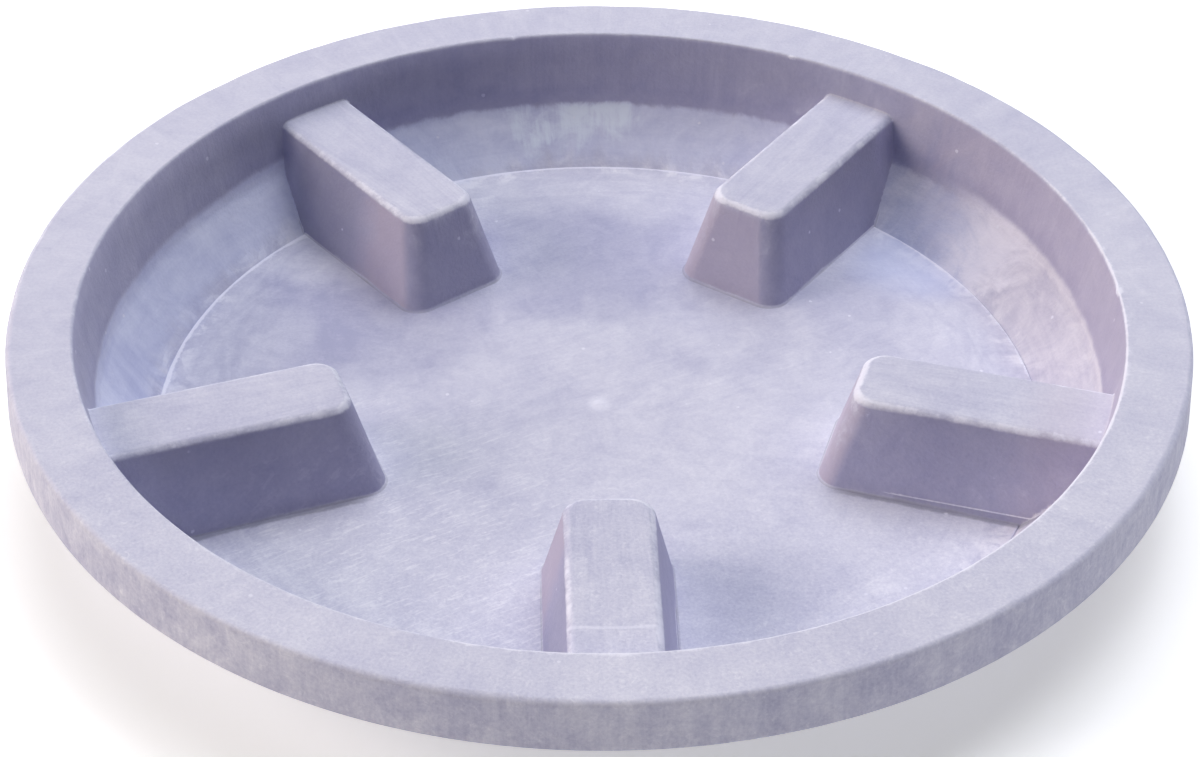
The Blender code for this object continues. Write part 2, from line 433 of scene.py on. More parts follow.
def surface_normals(x, y, z, stepped):
    """Unit normals of the joined surface."""
    slopes = []
    for axis in np.eye(3) * NORMAL_NUDGE:
        more = free_distance(x + axis[0], y + axis[1], z + axis[2], stepped)
        less = free_distance(x - axis[0], y - axis[1], z - axis[2], stepped)
        slopes.append(more - less)
    slopes = np.stack(slopes, axis=1)
    return slopes / np.linalg.norm(slopes, axis=1)[:, None]


def rest_loops():
    """Loops round the block, each as how far its sides and its end lie out from the top's, and its corner."""
    lean = PLINTH_LEDGE / REST_HEIGHT
    plinth_drop = REST_TOP_Z - PLINTH_Z
    side_slope, end_slope = math.tan(REST_DRAFT), math.tan(REST_END_DRAFT)
    loops = []
    # Round the top's edge
    for offset in np.linspace(-1.05 * REST_EDGE, 0.0004, 14):
        loops.append((offset, offset, REST_CORNER + min(offset, 0.0)))
    # Down the sides
    for drop in np.linspace(0.0035, plinth_drop - 0.0006, 14):
        loops.append((drop * (side_slope - lean), drop * (end_slope - lean), REST_CORNER))
    # Over the plinth's ledge
    side_out, end_out = plinth_drop * (side_slope - lean), plinth_drop * (end_slope - lean)
    for step in np.linspace(-0.00012, PLINTH_LEDGE + 0.00008, 9):
        loops.append((side_out + step, end_out + step, REST_CORNER))
    # Through the fillet at the foot and out below the dish's surface
    side_out, end_out = REST_HEIGHT * side_slope, REST_HEIGHT * end_slope
    for step in np.linspace(-0.00012, 0.0021, 15):
        loops.append((side_out + step, end_out + step, REST_CORNER + max(step, 0.0)))
    return loops


def rest_radii():
    """Radii at which the rest's mesh has points along its sides, from the wall inwards."""
    heights = np.linspace(FLOOR_EDGE_Z, REST_TOP_Z + 0.004, 46)
    cove = LINE_POINTS[LINE_POINTS[:, 0] > FLOOR_RADIUS]
    on_cove = np.interp(heights, [FLOOR_EDGE_Z, *cove[:, 1]], [FLOOR_RADIUS, *cove[:, 0]])
    flat = np.linspace(REST_INNER_RADIUS + 2.0 * REST_CORNER, FLOOR_RADIUS - 0.0014, 18)
    lip = FLOOR_RADIUS - np.array([0.0009, 0.0007, 0.0005, 0.0003])
    return np.sort(np.concatenate([flat, lip, on_cove[1:]]))[::-1]


def rest_plan():
    """Plan of one rest's mesh along +X: loops round the block's outline and rows across its top."""
    radii = rest_radii()
    swing = np.linspace(0.0, math.pi / 2, 13)
    loops = []
    for side_offset, end_offset, corner in rest_loops():
        half = REST_WIDTH / 2 + side_offset
        end_x = REST_INNER_RADIUS - end_offset
        side = np.stack([np.sqrt(radii ** 2 - half ** 2), np.full(len(radii), half)], axis=1)
        arc_x = end_x + corner * (1.0 - np.sin(swing))
        arc_y = half - corner * (1.0 - np.cos(swing))
        arc = np.stack([arc_x, arc_y], axis=1)
        end_y = np.linspace(arc_y[-1], -arc_y[-1], 10)[1:-1]
        end = np.stack([np.full(len(end_y), end_x), end_y], axis=1)
        mirrored = np.concatenate([side, arc])[::-1] * np.array([1.0, -1.0])
        loops.append(np.concatenate([side, arc, end, mirrored]))
    count = len(loops[0])
    faces = []
    for row in range(len(loops) - 1):
        for a in range(row * count, (row + 1) * count - 1):
            faces.append((a, a + count, a + count + 1, a + 1))

    across = loops[0][0, 1]
    row_y = np.linspace(across, -across, 9)[1:-1]
    rows = [np.stack([np.sqrt(radius ** 2 - row_y ** 2), row_y], axis=1) for radius in radii]
    start = count * len(loops)
    strips = []
    for index in range(len(radii)):
        inner = range(start + index * len(row_y), start + (index + 1) * len(row_y))
        strips.append([index, *inner, count - 1 - index])
    for near, far in zip(strips, strips[1:]):
        for a, b, c, d in zip(near, near[1:], far[1:], far):
            faces.append((a, d, c, b))
    faces.append((*range(len(radii) - 1, count - len(radii) + 1), *reversed(strips[-1][1:-1])))
    return np.concatenate([*loops, *rows]), faces


def close_below(faces, total):
    """Add the same faces underneath, turned over, and a band along the open border."""
    ways = {(a, b) for face in faces for a, b in zip(face, (*face[1:], face[0]))}
    band = [(b, a, total + a, total + b) for a, b in sorted(ways) if (b, a) not in ways]
    below = [tuple(total + index for index in reversed(face)) for face in faces]
    return [*faces, *below, *band]


def rest_surface(stepped):
    """Points, faces, normals and marks of one rest along +X, closed underneath inside the shell."""
    plan, faces = rest_plan()
    total = len(plan)
    x, y = plan[:, 0], plan[:, 1]
    top = drop_onto(x, y, lambda a, b, c: free_distance(a, b, c, stepped, BORDER_SINK))
    base = drop_onto(x, y, lambda a, b, c: dish_distance(np.hypot(a, b), c) + BASE_SINK)
    normals = surface_normals(x, y, top, stepped)
    side, end, height = rest_sides(x, y, top, stepped)
    outline = meet_round(side, end, REST_CORNER)
    top_edge = np.minimum(REST_EDGE + outline, REST_EDGE + height) / (0.5 * REST_EDGE)
    upright = np.minimum(REST_CORNER + side, REST_CORNER + end) / REST_CORNER
    inner_end = np.clip(1.0 + end / 0.0040, 0.0, 1.0) * np.clip(1.0 + height / 0.0020, 0.0, 1.0)
    on_plinth = (x > PLINTH_START + 0.004) * (y * stepped > 0.0)
    ledge = np.clip(1.0 - np.abs(top - PLINTH_Z) / 0.0003, 0.0, 1.0) * on_plinth
    wear = np.clip(top_edge, 0.0, 1.0) + 0.5 * np.clip(upright, 0.0, 1.0) + 0.5 * ledge + 0.5 * inner_end
    # Where painted shade goes: the crease at the rest's foot and the band below its plinth
    crevice = 0.8 * np.clip(1.0 - dish_distance(np.hypot(x, y), top) / 0.0010, 0.0, 1.0)
    crevice = np.maximum(crevice, 0.7 * (top < PLINTH_Z - 0.0002) * on_plinth)
    crevice *= np.clip((FLOOR_EDGE_Z + 0.0050 - top) / 0.0030, 0.0, 1.0)
    points = np.concatenate([np.stack([x, y, top], axis=1), np.stack([x, y, base], axis=1)])
    normals = np.concatenate([normals, -normals])
    hidden = np.zeros(total)
    marks = {"edge_wear_and_highlight": np.concatenate([wear, hidden]), "crevice": np.concatenate([crevice, hidden])}
    return points, close_below(faces, total), normals, marks


def build_rests():
    """The rests, each surface turned to its place."""
    surfaces = {stepped: rest_surface(stepped) for stepped in sorted(set(PLINTH_SIDES))}
    pieces = []
    for number in range(REST_COUNT):
        points, faces, normals, marks = surfaces[PLINTH_SIDES[number]]
        angle = REST_FIRST_ANGLE + math.tau * number / REST_COUNT
        turn = np.array(Matrix.Rotation(angle, 3, "Z"))
        piece = make_piece(
            f"rest_block_{number + 1}", points @ turn.T, faces, normals @ turn.T, marks,
            f"pot_rest_{number + 1}",
        )
        pieces.append(piece)
    return pieces


# Materials

LAVENDER = (0.405, 0.41, 0.59)
CHALK = (0.80, 0.80, 0.90)
# Pale wear, partly a painted highlight
WORN_AND_HIGHLIGHT = (0.86, 0.86, 0.98)
# A painted highlight
HIGHLIGHT_WHITE = (0.80, 0.87, 1.0)
ROSY = (0.88, 0.86, 0.98)
# Painted cool shade
COOL_SHADE_BLUE = (0.63, 0.70, 1.0)
# Painted warm light
WARM_LIGHT_PINK = (0.62, 0.52, 0.61)
# Painted shade of the steep faces
STEEP_SHADE = (0.30, 0.29, 0.48)
# Painted shade in corners, in creases and along the rests' feet
PAINTED_SHADE = (0.20, 0.20, 0.29)

# Marks on the floor and the cove, seen from above, one of them a painted shadow: x, y and radius in metres,
# and how much paler or darker
STAINS_AND_SHADOW = (
    (0.022, 0.000, 0.056, 0.05),
    (0.040, 0.004, 0.026, 0.06),
    (0.000, 0.067, 0.036, -0.34),
    (0.031, 0.033, 0.020, -0.13),
    (0.072, 0.034, 0.022, -0.12),
    (-0.055, 0.036, 0.030, -0.26),
    (-0.036, 0.006, 0.024, -0.10),
    (-0.046, -0.021, 0.019, 0.12),
    (0.004, -0.004, 0.030, -0.03),
    (-0.036, -0.042, 0.019, -0.12),
    (-0.088, 0.034, 0.040, -0.22),
    (-0.060, -0.064, 0.044, 0.12),
    (0.036, -0.074, 0.022, -0.11),
    (0.082, -0.052, 0.028, 0.06),
    (0.096, 0.028, 0.018, 0.14),
    # A darker corner of the cove beside the back-right rest, a painted shadow
    (0.094, 0.064, 0.024, -0.30),
    (0.118, 0.020, 0.030, -0.14),
    (0.106, 0.069, 0.010, 0.25),
    (-0.121, 0.008, 0.014, -0.30),
    (-0.036, 0.122, 0.022, 0.12),
)
SMALL_STAIN = 0.0200
WIDE_DRIFT = 0.075
SMALL_DRIFT = 0.020
BRUSHED_PLACE = (-0.056, -0.062, 0.0)
# Middle of the painted cool shade beside the back-right rest
COOL_SHADE_PLACE = (0.092, 0.066, 0.0)
ROSY_PLACE = (0.110, 0.058, 0.0)
# The painted highlight high on the cove is wide, so its place and its distances are squeezed in x
HIGHLIGHT_SQUEEZE = 0.36
HIGHLIGHT_PLACE = (-0.0002, 0.1262, 0.0)
THIN_LINE_RADIUS = 0.1172
# Side rests with a painted shadow along their front foot: the rest's place in the ring, and which side faces
# the front
SHADOWED_FEET = ((1, 1.0), (4, -1.0))

# Noises: the space each is drawn in, then its scale, detail, roughness and distortion
NOISES = {
    "clouds": ("plain", 24.0, 5.0, 0.62, 0.9),
    "sector": ("plain", 13.0, 2.0, 0.55, 0.0),
    "swirl": ("plain", 46.0, 5.0, 0.60, 3.2),
    "mottle": ("plain", 110.0, 5.0, 0.66, 0.8),
    "chips": ("plain", 260.0, 5.0, 0.75, 0.0),
    "fleck": ("plain", 430.0, 4.0, 0.66, 1.2),
    "grain": ("plain", 1100.0, 3.0, 0.65, 0.0),
    "flow": ("climbing", 110.0, 4.0, 0.62, 0.5),
    "streaks": ("long climbing", 560.0, 3.0, 0.62, 0.0),
    "sweeps": ("ringed", 150.0, 5.0, 0.66, 1.4),
    "strokes": ("brushed", 90.0, 5.0, 0.70, 0.4),
    "dashes": ("brushed", 170.0, 4.0, 0.70, 0.5),
    "swipes": ("swiped", 60.0, 4.0, 0.66, 0.6),
}
SPECKS_PER_METRE = 300.0


class Graph:
    """Short calls that add nodes to one material; a value may be a socket or a constant."""

    def __init__(self, tree):
        self.tree = tree

    def add(self, kind, values, result, **settings):
        node = self.tree.nodes.new(kind)
        for key, setting in settings.items():
            setattr(node, key, setting)
        for key, value in values.items():
            if isinstance(value, bpy.types.NodeSocket):
                self.tree.links.new(value, node.inputs[key])
            else:
                node.inputs[key].default_value = value
        return node.outputs[result]

    def math(self, operation, first, second=0.0, clamp=False):
        return self.add("ShaderNodeMath", {0: first, 1: second}, 0, operation=operation, use_clamp=clamp)

    def vector(self, operation, first, second=(0.0, 0.0, 0.0)):
        return self.add("ShaderNodeVectorMath", {0: first, 1: second}, 0, operation=operation)

    def measure(self, operation, first, second=(0.0, 0.0, 0.0)):
        """A vector operation that gives one number."""
        return self.add("ShaderNodeVectorMath", {0: first, 1: second}, "Value", operation=operation)

    def part(self, vector, axis):
        return self.add("ShaderNodeSeparateXYZ", {0: vector}, axis)

    def total(self, start, *terms):
        """A start value and any number of (value, weight) terms, added up."""
        for value, weight in terms:
            start = self.math("ADD", start, self.math("MULTIPLY", value, weight))
        return start

    def product(self, first, *others):
        for value in others:
            first = self.math("MULTIPLY", first, value)
        return first

    def inverse(self, share):
        return self.math("SUBTRACT", 1.0, share)

    def apart(self, value, middle):
        return self.math("ABSOLUTE", self.math("SUBTRACT", value, middle))

    def noise(self, vector, scale, detail, roughness, distortion):
        """Noise centred on zero."""
        values = {"Vector": vector, "Scale": scale, "Detail": detail}
        values.update({"Roughness": roughness, "Distortion": distortion})
        centred = self.add("ShaderNodeTexNoise", values, "Fac")
        return self.math("SUBTRACT", centred, 0.5)

    def ramp(self, value, low, high, start=0.0, end=1.0):
        """A smooth step from start, where the value is low, to end, where it is high."""
        values = {"Value": value, "From Min": low, "From Max": high, "To Min": start, "To Max": end}
        return self.add("ShaderNodeMapRange", values, "Result", interpolation_type="SMOOTHSTEP")

    def blend(self, factor, first, second):
        """A colour on its way from the first to the second."""
        values = {"Factor": factor, "A": first, "B": second}
        node = self.tree.nodes.new("ShaderNodeMix")
        node.data_type = "RGBA"
        for socket in node.inputs:
            if socket.enabled and socket.name in values:
                value = values[socket.name]
                if isinstance(value, bpy.types.NodeSocket):
                    self.tree.links.new(value, socket)
                else:
                    socket.default_value = (*value, 1.0) if isinstance(value, tuple) else value
        return next(socket for socket in node.outputs if socket.enabled)


def surface_place(graph):
    """Where a point of the saucer lies, and which way it faces."""
    at = SimpleNamespace()
    at.place = graph.add("ShaderNodeTexCoord", {}, "Object")
    at.across, at.along, at.height = (graph.part(at.place, axis) for axis in "XYZ")
    at.flat = graph.vector("MULTIPLY", at.place, (1.0, 1.0, 0.0))
    at.radius = graph.measure("LENGTH", at.flat)
    at.outward = graph.vector("NORMALIZE", at.flat)
    at.front = graph.ramp(at.along, 0.02, -0.10)
    facing = graph.add("ShaderNodeTexCoord", {}, "Normal")
    at.sideways, at.upward = graph.part(facing, "X"), graph.part(facing, "Z")
    at.facing_out = graph.measure("DOT_PRODUCT", facing, at.outward)
    drift = graph.add("ShaderNodeTexNoise", {"Vector": at.place, "Scale": 30.0, "Detail": 4.0}, "Color")
    drift = graph.vector("SUBTRACT", drift, (0.5, 0.5, 0.5))
    far = graph.vector("MULTIPLY", drift, (WIDE_DRIFT, WIDE_DRIFT, 0.0))
    little = graph.vector("MULTIPLY", drift, (SMALL_DRIFT, SMALL_DRIFT, 0.0))
    at.warped = graph.vector("ADD", at.flat, far)
    at.nudged = graph.vector("ADD", at.flat, little)
    return at


def surface_noises(graph, at):
    """The noises of the table, each in its own stretched space."""
    run = graph.math("ADD", at.radius, at.height)
    around = graph.vector("MULTIPLY", at.outward, (RIM_RADIUS, RIM_RADIUS, 0.0))

    def climbing(stretch):
        """Drawn out from the centre outwards and up the walls."""
        climb = graph.add("ShaderNodeCombineXYZ", {2: graph.math("DIVIDE", run, stretch)}, 0)
        return graph.vector("ADD", around, climb)

    def ringed(stretch):
        """Drawn out round the saucer's axis."""
        turned = graph.vector("MULTIPLY", around, (1.0 / stretch, 1.0 / stretch, 0.0))
        return graph.vector("ADD", turned, graph.add("ShaderNodeCombineXYZ", {2: run}, 0))

    def brushed(angle, stretch):
        """Drawn out straight, at an angle to +X in degrees."""
        turned = graph.add(
            "ShaderNodeVectorRotate", {"Vector": at.place, "Angle": math.radians(-angle)}, 0,
            rotation_type="Z_AXIS",
        )
        return graph.vector("MULTIPLY", turned, (1.0, stretch, 1.0))

    spaces = {
        "plain": at.place,
        "climbing": climbing(4.0),
        "long climbing": climbing(14.0),
        "ringed": ringed(6.0),
        "brushed": brushed(27.0, 6.0),
        "swiped": brushed(-9.0, 7.0),
    }
    noises = {name: graph.noise(spaces[space], *values) for name, (space, *values) in NOISES.items()}
    return SimpleNamespace(**noises)


def surface_zones(graph, at, noise):
    """How far each point belongs to the parts of the saucer, from 0 to 1, with uneven borders."""
    zone = SimpleNamespace()
    below_rim = graph.ramp(at.height, RIM_Z - 0.0004, RIM_Z - 0.0014)
    within = graph.ramp(at.radius, RIM_INNER_RADIUS + 0.0030, RIM_INNER_RADIUS + 0.0012)
    zone.inside = graph.product(below_rim, within)
    zone.on_skirt = graph.math("SUBTRACT", below_rim, zone.inside)
    zone.on_rim = graph.inverse(below_rim)

    # Steep faces; at both sides the foot of the wall is painted pale like the cove below it, a painted light
    # that moves the edge of the wall's shade up a little
    uneven = graph.total(at.upward, (noise.mottle, 0.5), (noise.clouds, 0.4), (noise.flow, 0.3))
    steep = graph.product(zone.inside, graph.ramp(uneven, 0.56, 0.30))
    creep = graph.total(at.height, (noise.flow, 0.002), (noise.clouds, 0.004))
    sides = graph.math("MAXIMUM", graph.ramp(at.across, -0.076, -0.092), graph.ramp(at.across, 0.094, 0.116))
    zone.creep = graph.product(
        graph.ramp(creep, WALL_CORNER_Z + 0.0042, WALL_CORNER_Z + 0.0018),
        sides,
        graph.ramp(at.radius, WALL_CORNER_RADIUS - 0.002, WALL_CORNER_RADIUS - 0.001),
        graph.ramp(at.facing_out, 0.2, -0.2),
        steep,
    )
    zone.steep = graph.math("SUBTRACT", steep, zone.creep)
    zone.level = graph.inverse(zone.steep)

    # Floor and cove below, and the tops of the rests
    low = graph.product(zone.inside, graph.ramp(at.height, PLINTH_Z + 0.0158, PLINTH_Z + 0.0128))
    zone.low = low
    zone.ground = graph.product(low, zone.level)
    zone.ragged_radius = graph.total(at.radius, (noise.clouds, 0.010), (noise.flow, 0.008))
    past_floor = graph.ramp(zone.ragged_radius, FLOOR_RADIUS - 0.0030, FLOOR_RADIUS + 0.0040)
    zone.on_cove = graph.product(low, past_floor)
    zone.on_floor = graph.math("SUBTRACT", low, zone.on_cove)
    zone.on_top = graph.product(graph.math("SUBTRACT", zone.inside, low), zone.level)

    foot_height = graph.apart(graph.total(at.height, (noise.flow, 0.010)), WALL_CORNER_Z + 0.0030)
    zone.wall_foot = graph.product(
        zone.steep,
        graph.ramp(foot_height, 0.0050, 0.0010),
        graph.ramp(at.radius, WALL_CORNER_RADIUS - 0.003, WALL_CORNER_RADIUS - 0.001),
    )
    return zone


def floor_stains_and_shadow(graph, at, zone):
    """Sum of the stains and of one painted shadow, with drifting borders, and of a paler outer band."""
    stains_and_shadow = graph.total(0.0, (graph.ramp(zone.ragged_radius, 0.092, 0.100), 0.06))
    for x, y, reach, amount in STAINS_AND_SHADOW:
        start = at.nudged if reach < SMALL_STAIN else at.warped
        gap = graph.measure("DISTANCE", start, (x, y, 0.0))
        stains_and_shadow = graph.math("ADD", stains_and_shadow, graph.ramp(gap, 0.55 * reach, 1.15 * reach, amount, 0.0))
    return stains_and_shadow


def chalky_bloom(graph, at, noise, zone, wiped):
    """How chalky a point is, from 0, bare plastic, to 1; beyond that it is clipped."""
    climb_share = graph.total(
        1.0, (zone.on_floor, -0.9), (zone.on_rim, -0.45), (zone.steep, -0.15),
        (zone.on_skirt, 0.45), (zone.on_cove, -0.60),
    )
    climbing = graph.product(graph.total(0.0, (noise.streaks, 0.35), (noise.flow, 0.45)), climb_share)
    brushing = graph.total(0.0, (zone.on_floor, 0.8), (zone.inside, 0.2))
    curling = graph.total(0.0, (zone.on_cove, 1.1), (zone.on_floor, 0.3))
    # Painted light: the left wall paler
    lit_left_wall = graph.product(zone.steep, graph.ramp(at.across, -0.080, -0.125))

    brushed_gap = graph.measure("DISTANCE", at.warped, BRUSHED_PLACE)
    brushed_here = graph.product(zone.on_floor, graph.ramp(brushed_gap, 0.030, 0.075, 0.26, 0.05))
    smear = graph.product(
        graph.ramp(graph.apart(zone.ragged_radius, FLOOR_RADIUS - 0.0015), 0.0060, 0.0005),
        zone.ground,
        graph.ramp(graph.total(noise.swirl, (noise.clouds, 0.8)), -0.02, 0.12),
    )
    sweep_share = graph.ramp(graph.total(at.radius, (noise.clouds, 0.03)), 0.088, 0.104)
    flecks = graph.ramp(noise.fleck, 0.07, 0.17)
    return graph.total(
        0.49,
        # All over
        (noise.clouds, 0.5),
        (noise.mottle, 0.6),
        (noise.grain, 0.40),
        (graph.product(noise.grain, at.front), 0.38),
        (graph.product(flecks, at.front, zone.level), 0.16),
        (climbing, 1.0),
        # Rim, skirt and tops; the front of the rim is painted a little paler, a painted light
        (graph.product(at.front, zone.on_rim), 0.05),
        (graph.product(graph.total(noise.swirl, (noise.mottle, 0.8)), zone.on_skirt), 0.55),
        (zone.on_top, -0.06),
        # Steep faces; the left wall and, at both sides, the foot of the wall are painted paler, a painted
        # light
        (zone.steep, -0.21),
        (lit_left_wall, 0.30),
        (zone.wall_foot, -0.14),
        (zone.creep, 0.32),
        (graph.product(noise.swirl, zone.steep), 0.35),
        # Floor and cove
        (zone.on_cove, 0.08),
        (graph.product(zone.ground, floor_stains_and_shadow(graph, at, zone)), 1.0),
        (graph.product(wiped, zone.level, brushing), 1.0),
        (graph.product(noise.swirl, zone.level, curling), 1.0),
        (graph.product(graph.ramp(noise.dashes, 0.02, 0.14), brushed_here), 1.0),
        (smear, 0.35),
        (graph.product(sweep_share, zone.ground, noise.sweeps), 0.75),
    )


def shades(graph, at, noise, zone):
    """Painted light and shade on whole faces and corners, as (share, colour) pairs."""
    # Painted shade: the steep faces darker and bluer, a little more so at the front
    steep_shade = graph.product(zone.steep, graph.total(0.34, (at.front, 0.06)))
    # Painted shade on the steep faces near the wall, towards the back
    wall_corner_shade = graph.product(
        graph.ramp(at.radius, 0.072, 0.106, 0.0, 0.26),
        graph.ramp(at.radius, 0.126, 0.119),
        graph.ramp(at.along, -0.090, -0.010),
        zone.steep,
    )
    # Painted cool shade: a bluer cove at the back and the left, and a bluer corner beside the back-right rest
    cool_shade_cove = graph.product(
        zone.on_cove,
        graph.ramp(at.across, 0.100, 0.050, 0.0, 0.38),
        graph.ramp(at.along, -0.080, -0.020),
    )
    corner_gap = graph.measure("DISTANCE", at.nudged, COOL_SHADE_PLACE)
    cool_shade_corner = graph.product(zone.low, graph.ramp(corner_gap, 0.026, 0.010, 0.0, 0.42))
    cool_shade = graph.product(graph.math("MAXIMUM", cool_shade_cove, cool_shade_corner), zone.level)
    # Painted warm light on the right of the cavity, stronger near the wall
    warm_light = graph.product(
        zone.inside,
        graph.ramp(graph.total(at.across, (noise.swirl, 0.05)), 0.080, 0.115),
        graph.ramp(at.radius, 0.105, 0.122, 0.0, 0.25),
    )

    # Faces of the rests towards -X: painted warm light on their inner part, painted shade near the wall
    leftward = graph.product(zone.steep, graph.ramp(at.sideways, -0.30, -0.75))
    inward = graph.total(at.radius, (noise.swirl, 0.015), (noise.mottle, 0.010))
    warm_lit_face = graph.product(leftward, graph.ramp(inward, 0.096, 0.082), 0.42)
    wall_shaded_face = graph.product(
        leftward,
        graph.ramp(inward, 0.088, 0.102, 0.0, 0.17),
        graph.ramp(at.radius, 0.126, 0.119),
    )
    return (
        (steep_shade, STEEP_SHADE), (wall_corner_shade, PAINTED_SHADE), (cool_shade, COOL_SHADE_BLUE), (warm_light, WARM_LIGHT_PINK),
        (warm_lit_face, WARM_LIGHT_PINK), (wall_shaded_face, PAINTED_SHADE),
    )


def marks(graph, at, noise, zone):
    """Single marks with a place of their own, among them a painted highlight and a painted shadow, as (share,
    colour) pairs.
    """
    # A thin pale line across the front rest's top, near the wall
    line_gap = graph.apart(graph.total(at.radius, (noise.mottle, 0.0015)), THIN_LINE_RADIUS)
    thin = graph.product(
        graph.ramp(line_gap, 0.0008, 0.0002), zone.on_top, graph.ramp(at.along, -0.105, -0.112), 0.4,
    )

    # A painted highlight high on the cove at the back, whitish and streaked upwards, and a rosy blotch at the
    # right
    squeezed = graph.vector("MULTIPLY", at.nudged, (HIGHLIGHT_SQUEEZE, 1.0, 0.0))
    cove_highlight_gap = graph.total(
        graph.measure("DISTANCE", squeezed, HIGHLIGHT_PLACE),
        (noise.flow, -0.014), (noise.mottle, -0.012), (noise.streaks, -0.006),
    )
    cove_highlight = graph.product(graph.ramp(cove_highlight_gap, 0.0075, 0.0015), zone.on_cove, zone.level, 0.9)
    rosy_gap = graph.total(
        graph.measure("DISTANCE", at.nudged, ROSY_PLACE), (noise.swirl, -0.020), (noise.mottle, -0.010),
    )
    rosy = graph.product(graph.ramp(rosy_gap, 0.017, 0.004), zone.on_cove, zone.level, 0.6)

    # The gate's scar at the centre of the floor
    scar = graph.ramp(graph.total(at.radius, (noise.mottle, 0.003)), 0.0040, 0.0010, 0.0, 0.55)
    return (
        (thin, WORN_AND_HIGHLIGHT), (cove_highlight, HIGHLIGHT_WHITE), (rosy, ROSY),
        (foot_shadow(graph, at, noise, zone), PAINTED_SHADE), (scar, WORN_AND_HIGHLIGHT),
    )


def foot_shadow(graph, at, noise, zone):
    """Share of painted shadow on the floor along the front foot of the two side rests."""
    foot_shade = 0.0
    # A band 16 to 19 mm beside the rest's middle line, which starts 64 to 74 mm from the saucer's axis
    for number, side in SHADOWED_FEET:
        angle = REST_FIRST_ANGLE + math.tau * number / REST_COUNT
        beside = graph.measure(
            "DOT_PRODUCT", at.place, (side * math.sin(angle), -side * math.cos(angle), 0.0),
        )
        outwards = graph.measure("DOT_PRODUCT", at.place, (math.cos(angle), math.sin(angle), 0.0))
        blurred = graph.total(beside, (noise.mottle, 0.002), (noise.clouds, 0.002))
        band = graph.product(
            graph.ramp(blurred, 0.0186, 0.0174),
            graph.ramp(beside, 0.0160, 0.0165),
            graph.ramp(outwards, 0.064, 0.074),
        )
        foot_shade = graph.math("MAXIMUM", foot_shade, band)
    return graph.product(foot_shade, zone.ground, 0.55)


def specks(graph, at, noise):
    """Share of small pale specks, one in a few of the cells."""
    cells = graph.tree.nodes.new("ShaderNodeTexVoronoi")
    cells.inputs["Scale"].default_value = SPECKS_PER_METRE
    graph.tree.links.new(at.place, cells.inputs["Vector"])
    dot = graph.ramp(graph.total(cells.outputs["Distance"], (noise.grain, 0.3)), 0.20, 0.10)
    pick = graph.add("ShaderNodeSeparateColor", {0: cells.outputs["Color"]}, 0)
    return graph.product(dot, graph.ramp(pick, 0.965, 0.975), 0.6)


def stone_plastic(name):
    """Matt moulded plastic: lavender grey, clouded with chalky bloom, brushed, scuffed and worn pale, with
    painted light and shade on its faces, corners and edges.
    """
    material = bpy.data.materials.new(name)
    material.use_nodes = True
    graph = Graph(material.node_tree)
    shader = material.node_tree.nodes["Principled BSDF"]
    at = surface_place(graph)
    noise = surface_noises(graph, at)
    zone = surface_zones(graph, at, noise)

    # Wiping strokes, in one direction in some sectors and in another elsewhere
    wiped = graph.math(
        "ADD",
        graph.product(noise.strokes, graph.ramp(noise.sector, -0.08, 0.06, 0.45, 0.05)),
        graph.product(noise.swipes, graph.ramp(noise.sector, -0.02, 0.10, 0.05, 0.3)),
    )
    # Painted shade in the creases at the rests' feet and below their plinths
    crevice = graph.add("ShaderNodeAttribute", {}, "Fac", attribute_name="crevice")
    crease_shade = graph.ramp(graph.total(crevice, (noise.mottle, 0.9)), 0.40, 1.0, 0.0, 0.4)
    # Pale wear on the edges, partly a painted highlight along the rim's inner edge and the floor's edge
    wear = graph.add("ShaderNodeAttribute", {}, "Fac", attribute_name="edge_wear_and_highlight")
    wear = graph.total(wear, (noise.chips, 2.6), (noise.clouds, 2.2), (noise.mottle, 1.2))
    rubbed_and_highlight = graph.ramp(wear, 0.60, 1.50)

    bloom = graph.math("ADD", chalky_bloom(graph, at, noise, zone, wiped), 0.0, True)
    colour = graph.blend(bloom, LAVENDER, CHALK)
    tints = (
        *shades(graph, at, noise, zone),
        *marks(graph, at, noise, zone),
        (crease_shade, PAINTED_SHADE),
        (graph.product(rubbed_and_highlight, 0.75), WORN_AND_HIGHLIGHT),
        (specks(graph, at, noise), WORN_AND_HIGHLIGHT),
    )
    for share, tint in tints:
        colour = graph.blend(share, colour, tint)
    graph.tree.links.new(colour, shader.inputs["Base Color"])

    matt = graph.total(0.66, (noise.mottle, 0.3), (noise.streaks, 0.2), (wiped, 0.15), (rubbed_and_highlight, -0.08))
    graph.tree.links.new(matt, shader.inputs["Roughness"])
    shader.inputs["Specular IOR Level"].default_value = 0.32
    combed = graph.product(noise.streaks, graph.inverse(zone.low))
    relief = graph.total(
        0.5, (noise.grain, 0.9), (combed, 0.7), (noise.mottle, 0.7), (wiped, 0.35), (noise.chips, 0.5),
    )
    bump = graph.add("ShaderNodeBump", {"Height": relief, "Strength": 0.5, "Distance": 0.0003}, 0)
    graph.tree.links.new(bump, shader.inputs["Normal"])
    return material


# Stage and lights

FLOOR_COLOUR = (0.92, 0.92, 0.92, 1.0)
FLOOR_LIFT = 0.45
FLOOR_SIZE = 12.0
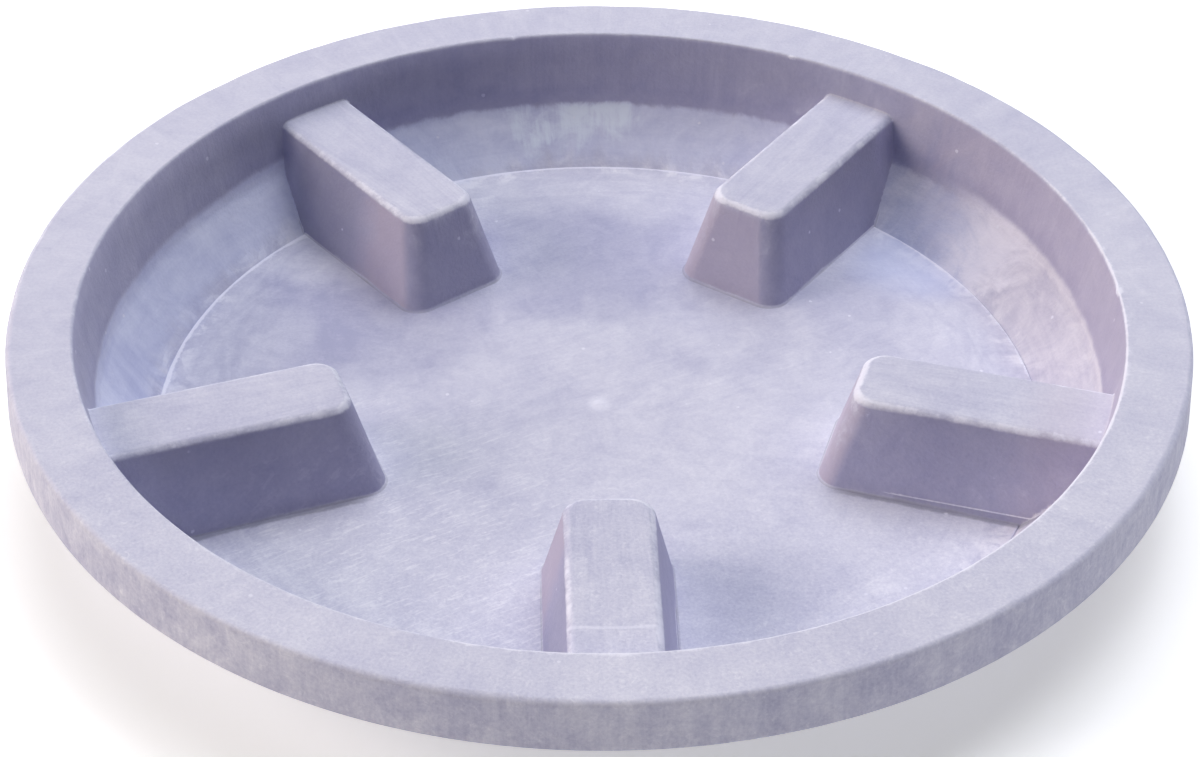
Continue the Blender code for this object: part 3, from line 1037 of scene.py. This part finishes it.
# The floor lies a hair below the foot ring, so that the two faces don't coincide
FLOOR_SINK = 0.00005
WHITE = (1.0, 1.0, 1.0, 1.0)
LAMPS = (
    # name, compass angle from +X and elevation in degrees, distance, width, height, watts, colour
    ("above", 90.0, 76.0, 3.4, 2.0, 2.0, 34.0, (0.92, 0.94, 1.0)),
    ("behind", 90.0, 45.0, 3.4, 2.0, 2.0, 25.0, (0.95, 0.97, 1.0)),
    ("behind_right", 45.0, 62.0, 3.4, 2.0, 2.0, 44.0, (0.93, 0.95, 1.0)),
    ("left", 190.0, 30.0, 3.4, 1.6, 1.6, 52.0, (1.0, 0.89, 0.80)),
    ("left_low", 160.0, 13.0, 3.4, 1.6, 1.6, 39.0, (1.0, 0.87, 0.76)),
    ("front_low", 315.0, 1.2, 3.0, 2.4, 0.12, 14.0, (0.92, 0.90, 1.0)),
    ("right_low", 0.0, 1.2, 3.0, 2.4, 0.12, 5.0, (0.98, 0.96, 1.0)),
)


def build_stage():
    """A plain pale floor, lifted towards white for the camera alone."""
    bpy.ops.mesh.primitive_plane_add(size=FLOOR_SIZE, location=(0.0, 0.0, -FLOOR_SINK))
    floor = bpy.context.object
    floor.name = "floor"
    material = bpy.data.materials.new("floor")
    material.use_nodes = True
    graph = Graph(material.node_tree)
    shader = material.node_tree.nodes["Principled BSDF"]
    shader.inputs["Base Color"].default_value = FLOOR_COLOUR
    shader.inputs["Roughness"].default_value = 1.0
    shader.inputs["Specular IOR Level"].default_value = 0.0
    shader.inputs["Emission Color"].default_value = WHITE
    seen = graph.add("ShaderNodeLightPath", {}, "Is Camera Ray")
    graph.tree.links.new(graph.math("MULTIPLY", seen, FLOOR_LIFT), shader.inputs["Emission Strength"])
    floor.data.materials.append(material)


def area_light(name, compass, elevation, distance, width, height, power, colour):
    """A soft rectangular lamp aimed at the saucer."""
    data = bpy.data.lights.new(name, "AREA")
    data.shape = "RECTANGLE"
    data.size = width
    data.size_y = height
    data.energy = power
    data.color = colour
    lamp = bpy.data.objects.new(name, data)
    turn, lift = math.radians(compass), math.radians(elevation)
    way = Vector((math.cos(lift) * math.cos(turn), math.cos(lift) * math.sin(turn), math.sin(lift)))
    lamp.location = way * distance
    lamp.rotation_euler = (-way).to_track_quat("-Z", "Y").to_euler()
    bpy.context.scene.collection.objects.link(lamp)


def light_scene():
    """Soft lamps, the left ones warmer, and a surround that is white to the camera and in reflections."""
    for lamp in LAMPS:
        area_light(*lamp)
    world = bpy.data.worlds.new("world")
    world.use_nodes = True
    graph = Graph(world.node_tree)
    rays = graph.tree.nodes.new("ShaderNodeLightPath")
    seen = graph.math("ADD", rays.outputs["Is Camera Ray"], rays.outputs["Is Glossy Ray"])
    seen = graph.math("ADD", seen, rays.outputs["Is Transmission Ray"], True)
    background = graph.tree.nodes["Background"]
    background.inputs["Color"].default_value = WHITE
    graph.tree.links.new(seen, background.inputs["Strength"])
    bpy.context.scene.world = world
    bpy.context.scene.view_settings.view_transform = "Standard"


place_camera()
dish = build_dish()
rests = build_rests()
plastic = stone_plastic("stone_plastic")
for piece in [dish, *rests]:
    piece.data.materials.append(plastic)
build_stage()
light_scene()
